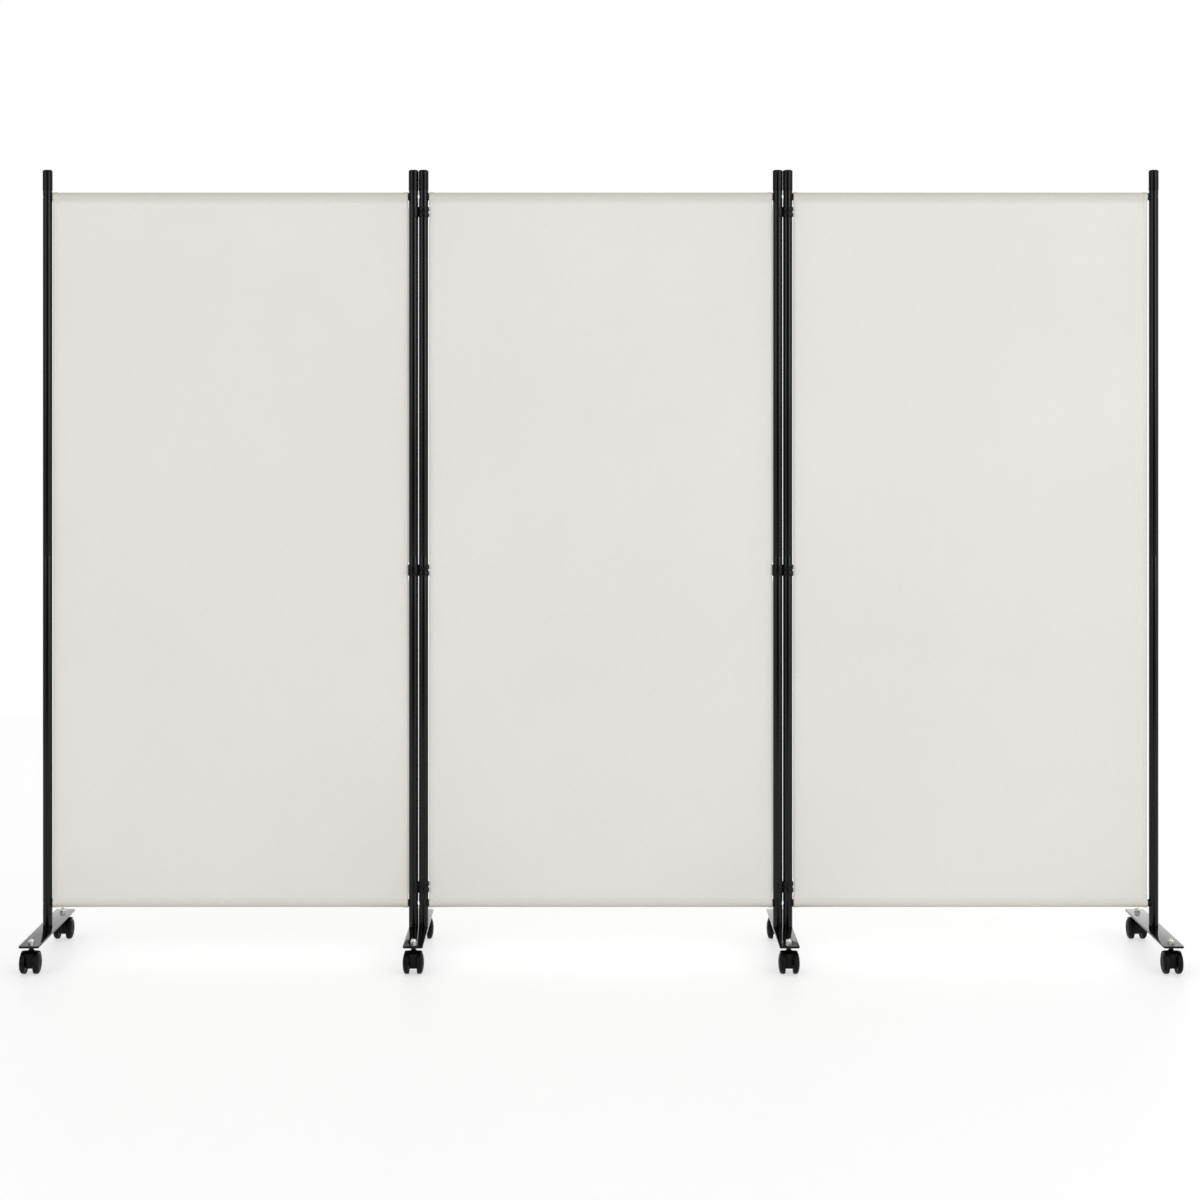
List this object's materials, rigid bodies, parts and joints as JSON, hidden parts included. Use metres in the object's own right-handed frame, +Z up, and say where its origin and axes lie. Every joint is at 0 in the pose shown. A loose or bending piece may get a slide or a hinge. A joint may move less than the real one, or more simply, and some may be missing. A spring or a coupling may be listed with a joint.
{
  "type": "folding privacy screen",
  "caption": "Folding fabric privacy screen: round-tube panels hinged in pairs on flat-bar feet with swivel casters.",
  "frame": {"origin": "on the floor, below the centre of the middle panel", "axes": "+X along the panels to the viewer's right, -Y the front, +Z up"},
  "size_m": [2.5524, 0.366, 1.78],
  "materials": {
    "post_black": "satin black powder coat",
    "rail_black": "satin black powder coat",
    "foot_black": "gloss black enamel",
    "joiner_steel": "plain zinc-plated steel",
    "hardware_steel": "bright zinc plate",
    "cap_black": "moulded black plastic",
    "connector_black": "moulded black plastic",
    "caster_black": "moulded black nylon",
    "wheel_black": "hard black nylon, lightly scuffed",
    "fabric": "off-white plain-weave polyester, matt",
    "thread": "off-white sewing thread"
  },
  "bodies": {
    "middle_panel": {"middle_left_post_lower_tube": "post_black", "middle_left_post_upper_tube": "post_black", "middle_left_post_joiner": "joiner_steel", "middle_left_post_cap": "cap_black", "middle_right_post_lower_tube": "post_black", "middle_right_post_upper_tube": "post_black", "middle_right_post_joiner": "joiner_steel", "middle_right_post_cap": "cap_black", "middle_top_rail": "rail_black", "middle_bottom_rail": "rail_black", "middle_fabric": "fabric"},
    "left_panel": {"left_outer_post_lower_tube": "post_black", "left_outer_post_upper_tube": "post_black", "left_outer_post_joiner": "joiner_steel", "left_outer_post_cap": "cap_black", "left_inner_post_lower_tube": "post_black", "left_inner_post_upper_tube": "post_black", "left_inner_post_joiner": "joiner_steel", "left_inner_post_cap": "cap_black", "left_top_rail": "rail_black", "left_bottom_rail": "rail_black", "left_fabric": "fabric"},
    "right_panel": {"right_inner_post_lower_tube": "post_black", "right_inner_post_upper_tube": "post_black", "right_inner_post_joiner": "joiner_steel", "right_inner_post_cap": "cap_black", "right_outer_post_lower_tube": "post_black", "right_outer_post_upper_tube": "post_black", "right_outer_post_joiner": "joiner_steel", "right_outer_post_cap": "cap_black", "right_top_rail": "rail_black", "right_bottom_rail": "rail_black", "right_fabric": "fabric"},
    "left_hinge": {"left_pair_top_connector": "connector_black", "left_pair_middle_connector": "connector_black", "left_pair_bottom_connector": "connector_black", "left_pair_foot": "foot_black"},
    "right_hinge": {"right_pair_top_connector": "connector_black", "right_pair_middle_connector": "connector_black", "right_pair_bottom_connector": "connector_black", "right_pair_foot": "foot_black"},
    "left_outer_foot": {"left_outer_foot": "foot_black"},
    "right_outer_foot": {"right_outer_foot": "foot_black"},
    "left_outer_front_caster": {"left_outer_front_caster_hood": "caster_black"},
    "left_outer_front_caster_wheels": {"left_outer_front_caster_wheels": "wheel_black"},
    "left_outer_rear_caster": {"left_outer_rear_caster_hood": "caster_black"},
    "left_outer_rear_caster_wheels": {"left_outer_rear_caster_wheels": "wheel_black"},
    "left_pair_front_caster": {"left_pair_front_caster_hood": "caster_black"},
    "left_pair_front_caster_wheels": {"left_pair_front_caster_wheels": "wheel_black"},
    "left_pair_rear_caster": {"left_pair_rear_caster_hood": "caster_black"},
    "left_pair_rear_caster_wheels": {"left_pair_rear_caster_wheels": "wheel_black"},
    "right_pair_front_caster": {"right_pair_front_caster_hood": "caster_black"},
    "right_pair_front_caster_wheels": {"right_pair_front_caster_wheels": "wheel_black"},
    "right_pair_rear_caster": {"right_pair_rear_caster_hood": "caster_black"},
    "right_pair_rear_caster_wheels": {"right_pair_rear_caster_wheels": "wheel_black"},
    "right_outer_front_caster": {"right_outer_front_caster_hood": "caster_black"},
    "right_outer_front_caster_wheels": {"right_outer_front_caster_wheels": "wheel_black"},
    "right_outer_rear_caster": {"right_outer_rear_caster_hood": "caster_black"},
    "right_outer_rear_caster_wheels": {"right_outer_rear_caster_wheels": "wheel_black"}
  },
  "joints": [
    {"name": "left_hinge_pivot", "type": "hinge", "parent": "middle_panel", "child": "left_hinge", "pos_m": [-0.401, 0, 0.873], "axis": [0, 0, 1], "range_deg": [-75, 75]},
    {"name": "left_panel_pivot", "type": "hinge", "parent": "left_hinge", "child": "left_panel", "pos_m": [-0.4237, 0, 0.873], "axis": [0, 0, 1], "range_deg": [-75, 75]},
    {"name": "left_outer_foot_pivot", "type": "hinge", "parent": "left_panel", "child": "left_outer_foot", "pos_m": [-1.2527, 0, 0.083], "axis": [0, 0, 1], "range_deg": [-90, 90]},
    {"name": "right_hinge_pivot", "type": "hinge", "parent": "middle_panel", "child": "right_hinge", "pos_m": [0.401, 0, 0.873], "axis": [0, 0, 1], "range_deg": [-75, 75]},
    {"name": "right_panel_pivot", "type": "hinge", "parent": "right_hinge", "child": "right_panel", "pos_m": [0.4237, 0, 0.873], "axis": [0, 0, 1], "range_deg": [-75, 75]},
    {"name": "right_outer_foot_pivot", "type": "hinge", "parent": "right_panel", "child": "right_outer_foot", "pos_m": [1.2527, 0, 0.083], "axis": [0, 0, 1], "range_deg": [-90, 90]},
    {"name": "left_outer_front_caster_swivel", "type": "hinge", "parent": "left_outer_foot", "child": "left_outer_front_caster", "pos_m": [-1.2527, -0.152, 0.05], "axis": [0, 0, 1], "continuous": true},
    {"name": "left_outer_front_caster_roll", "type": "hinge", "parent": "left_outer_front_caster", "child": "left_outer_front_caster_wheels", "pos_m": [-1.2527, -0.159, 0.024], "axis": [1, 0, 0], "continuous": true},
    {"name": "left_outer_rear_caster_swivel", "type": "hinge", "parent": "left_outer_foot", "child": "left_outer_rear_caster", "pos_m": [-1.2527, 0.152, 0.05], "axis": [0, 0, 1], "continuous": true},
    {"name": "left_outer_rear_caster_roll", "type": "hinge", "parent": "left_outer_rear_caster", "child": "left_outer_rear_caster_wheels", "pos_m": [-1.2527, 0.159, 0.024], "axis": [1, 0, 0], "continuous": true},
    {"name": "left_pair_front_caster_swivel", "type": "hinge", "parent": "left_hinge", "child": "left_pair_front_caster", "pos_m": [-0.41235, -0.152, 0.05], "axis": [0, 0, 1], "continuous": true},
    {"name": "left_pair_front_caster_roll", "type": "hinge", "parent": "left_pair_front_caster", "child": "left_pair_front_caster_wheels", "pos_m": [-0.41235, -0.159, 0.024], "axis": [1, 0, 0], "continuous": true},
    {"name": "left_pair_rear_caster_swivel", "type": "hinge", "parent": "left_hinge", "child": "left_pair_rear_caster", "pos_m": [-0.41235, 0.152, 0.05], "axis": [0, 0, 1], "continuous": true},
    {"name": "left_pair_rear_caster_roll", "type": "hinge", "parent": "left_pair_rear_caster", "child": "left_pair_rear_caster_wheels", "pos_m": [-0.41235, 0.159, 0.024], "axis": [1, 0, 0], "continuous": true},
    {"name": "right_pair_front_caster_swivel", "type": "hinge", "parent": "right_hinge", "child": "right_pair_front_caster", "pos_m": [0.41235, -0.152, 0.05], "axis": [0, 0, 1], "continuous": true},
    {"name": "right_pair_front_caster_roll", "type": "hinge", "parent": "right_pair_front_caster", "child": "right_pair_front_caster_wheels", "pos_m": [0.41235, -0.159, 0.024], "axis": [1, 0, 0], "continuous": true},
    {"name": "right_pair_rear_caster_swivel", "type": "hinge", "parent": "right_hinge", "child": "right_pair_rear_caster", "pos_m": [0.41235, 0.152, 0.05], "axis": [0, 0, 1], "continuous": true},
    {"name": "right_pair_rear_caster_roll", "type": "hinge", "parent": "right_pair_rear_caster", "child": "right_pair_rear_caster_wheels", "pos_m": [0.41235, 0.159, 0.024], "axis": [1, 0, 0], "continuous": true},
    {"name": "right_outer_front_caster_swivel", "type": "hinge", "parent": "right_outer_foot", "child": "right_outer_front_caster", "pos_m": [1.2527, -0.152, 0.05], "axis": [0, 0, 1], "continuous": true},
    {"name": "right_outer_front_caster_roll", "type": "hinge", "parent": "right_outer_front_caster", "child": "right_outer_front_caster_wheels", "pos_m": [1.2527, -0.159, 0.024], "axis": [1, 0, 0], "continuous": true},
    {"name": "right_outer_rear_caster_swivel", "type": "hinge", "parent": "right_outer_foot", "child": "right_outer_rear_caster", "pos_m": [1.2527, 0.152, 0.05], "axis": [0, 0, 1], "continuous": true},
    {"name": "right_outer_rear_caster_roll", "type": "hinge", "parent": "right_outer_rear_caster", "child": "right_outer_rear_caster_wheels", "pos_m": [1.2527, 0.159, 0.024], "axis": [1, 0, 0], "continuous": true}
  ]
}
